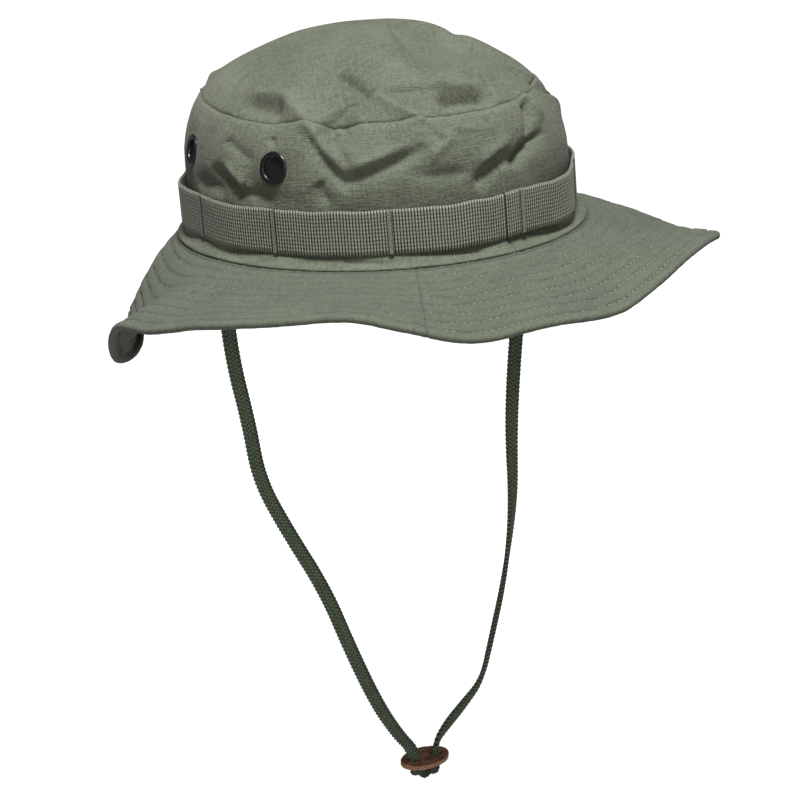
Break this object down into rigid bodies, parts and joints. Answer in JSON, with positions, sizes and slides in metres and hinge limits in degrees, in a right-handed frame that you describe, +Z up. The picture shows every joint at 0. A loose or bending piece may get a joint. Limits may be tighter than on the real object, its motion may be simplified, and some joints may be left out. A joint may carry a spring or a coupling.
{
  "type": "boonie hat",
  "caption": "Soft field hat with a domed crown, wide stitched drooping brim, webbing loop band, screened side vents and a braided chin cord with a leather toggle.",
  "frame": {"origin": "centre of the head opening, in the plane of the seam between crown and brim", "axes": "+Z up through the crown, -Y to the front of the hat, +X to the wearer's left"},
  "size_m": [0.3172, 0.3427, 0.3871],
  "materials": {
    "crown_cloth": "plain-woven cotton, sage green, matt",
    "brim_cloth": "plain-woven cotton with rows of stitching, matt",
    "stiffening_cloth": "coarse stiff cotton, hidden inside the brim",
    "seam_tape": "woven tape, matt",
    "sweatband_cloth": "folded cotton band, matt",
    "label_cloth": "blank woven label",
    "webbing": "ribbed nylon webbing, grey green, slight sheen",
    "thread": "twisted sewing thread",
    "vent_paint": "black gloss paint on brass",
    "vent_screen": "fine woven wire screen, dark",
    "cord_braid": "flat braided cord, dark green",
    "toggle_leather": "smooth brown leather with a raw cut edge"
  },
  "bodies": {
    "hat": {"crown_top": "crown_cloth", "crown_side_left": "crown_cloth", "crown_side_right": "crown_cloth", "top_seam_binding": "seam_tape", "front_seam_tape": "seam_tape", "back_seam_tape": "seam_tape", "sweatband": "sweatband_cloth", "size_label": "label_cloth", "vent_left_front_flange": "vent_paint", "vent_left_front_washer": "vent_paint", "vent_left_front_screen": "vent_screen", "vent_left_back_flange": "vent_paint", "vent_left_back_washer": "vent_paint", "vent_left_back_screen": "vent_screen", "vent_right_front_flange": "vent_paint", "vent_right_front_washer": "vent_paint", "vent_right_front_screen": "vent_screen", "vent_right_back_flange": "vent_paint", "vent_right_back_washer": "vent_paint", "vent_right_back_screen": "vent_screen", "foliage_band": "webbing", "band_tacks": "thread", "brim_upper_front": "brim_cloth", "brim_upper_back": "brim_cloth", "brim_interlining_front": "stiffening_cloth", "brim_interlining_back": "stiffening_cloth", "brim_lower_front": "brim_cloth", "brim_lower_back": "brim_cloth", "cord_end_left": "cord_braid", "cord_end_right": "cord_braid"},
    "strap": {"chin_cord_left": "cord_braid", "chin_cord_right": "cord_braid", "cord_knot": "cord_braid"},
    "toggle": {"cord_toggle": "toggle_leather"}
  },
  "joints": [
    {"name": "strap_swing", "type": "hinge", "parent": "hat", "child": "strap", "pos_m": [0, 0, -0.0015], "axis": [1, 0, 0], "range_deg": [-75, 50]},
    {"name": "toggle_slide", "type": "slide", "parent": "strap", "child": "toggle", "axis": [0, 0, 1], "range_m": [0, 0.1], "deforming": ["chin_cord_left", "chin_cord_right"]}
  ]
}
